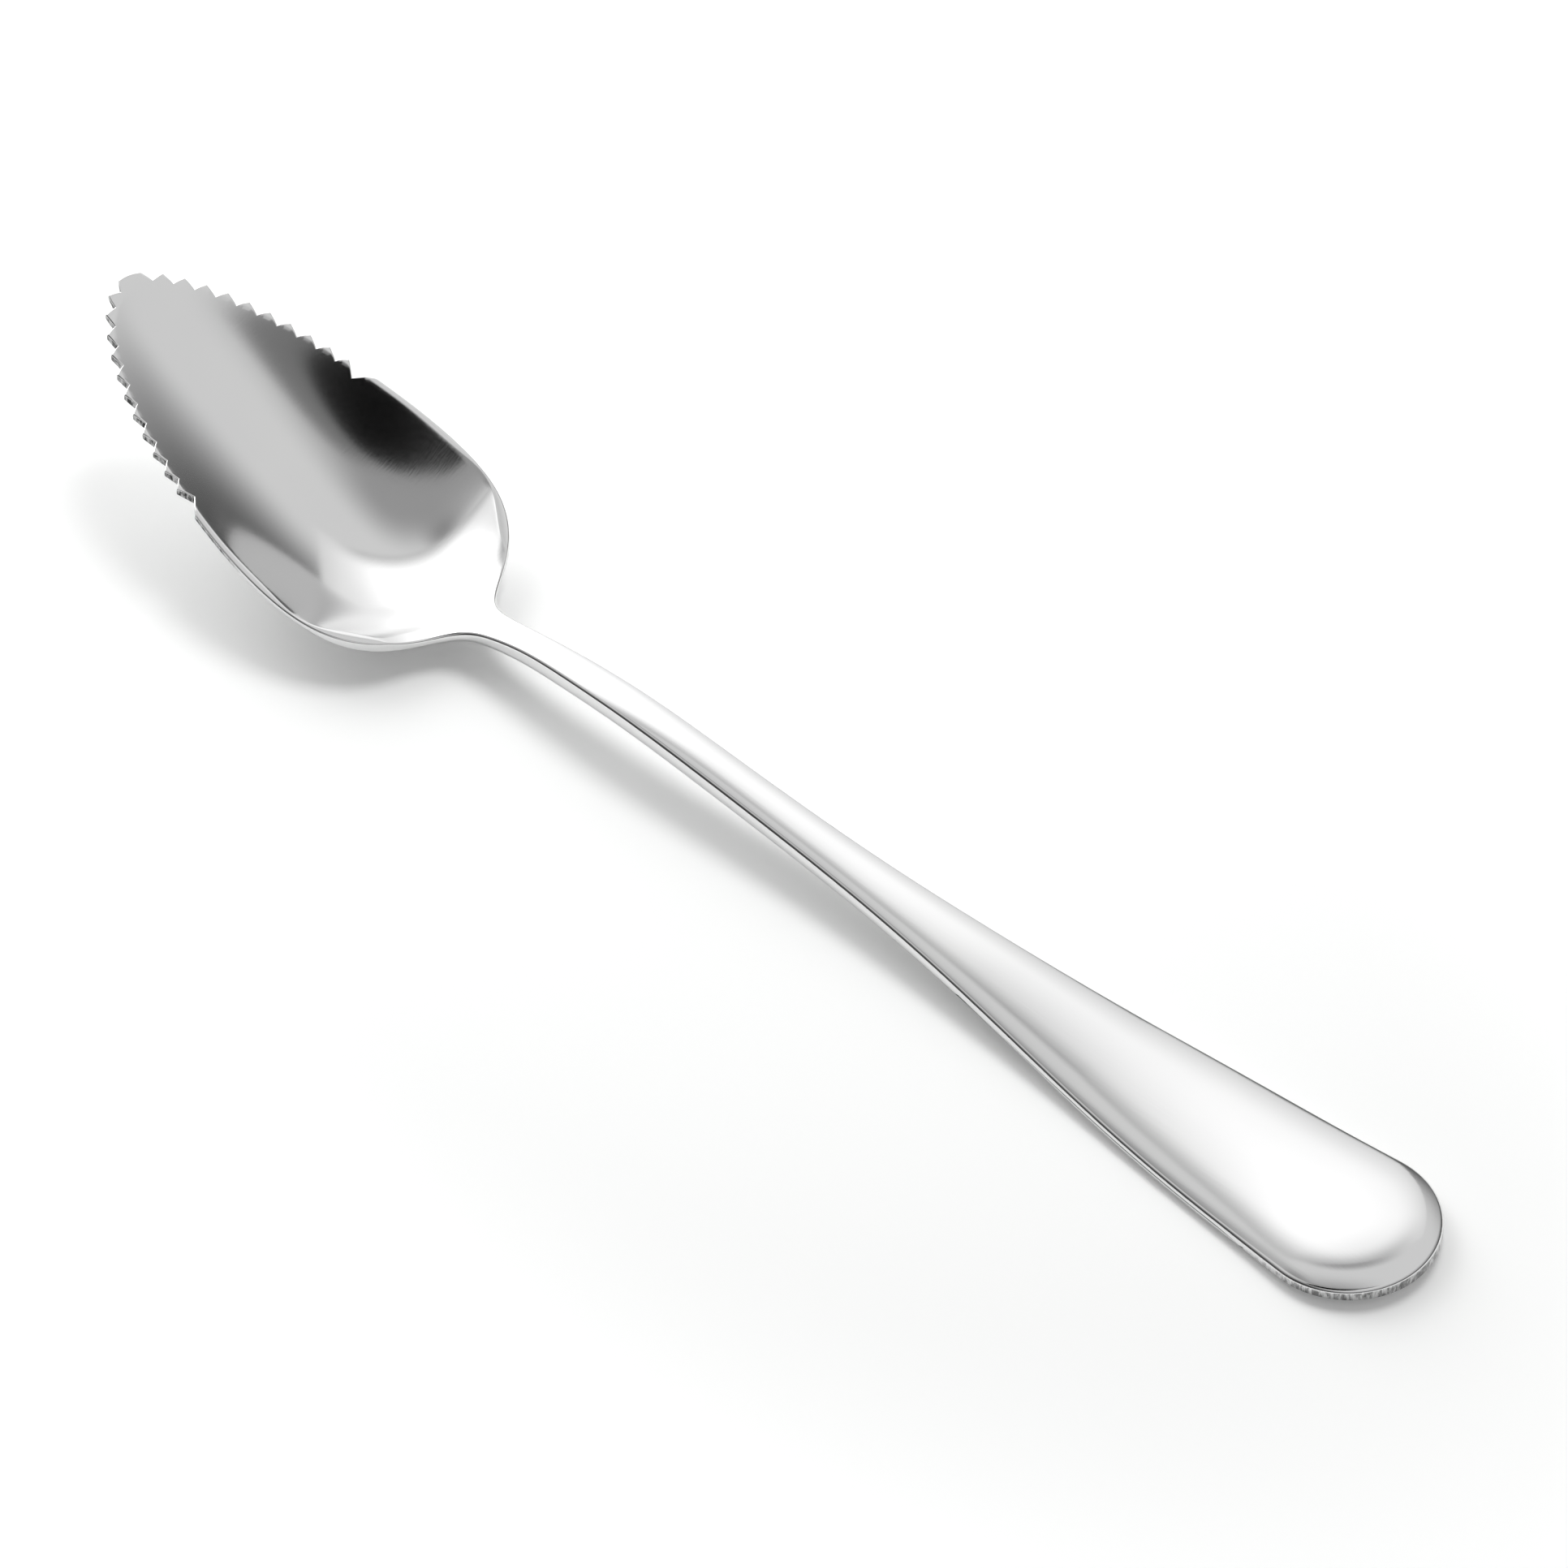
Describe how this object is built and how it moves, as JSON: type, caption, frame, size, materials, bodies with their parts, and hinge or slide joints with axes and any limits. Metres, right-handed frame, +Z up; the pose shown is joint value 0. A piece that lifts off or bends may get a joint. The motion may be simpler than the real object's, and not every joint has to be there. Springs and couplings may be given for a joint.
{
  "type": "grapefruit spoon",
  "caption": "Grapefruit spoon in one piece of polished steel: a pointed, dished bowl with serrated front edges, a narrow shank and a flat handle that widens to a round end.",
  "frame": {"origin": "on the table plane, under the centre of the bounding box of the spoon as it lies", "axes": "+X along the spoon from the tip of the bowl to the end of the handle, +Z up from the table and out of the bowl, +Y to the left of someone who looks along +X"},
  "size_m": [0.165, 0.0272, 0.0183],
  "materials": {
    "steel": "polished"
  },
  "bodies": {
    "root": {"spoon": "steel"}
  },
  "joints": []
}
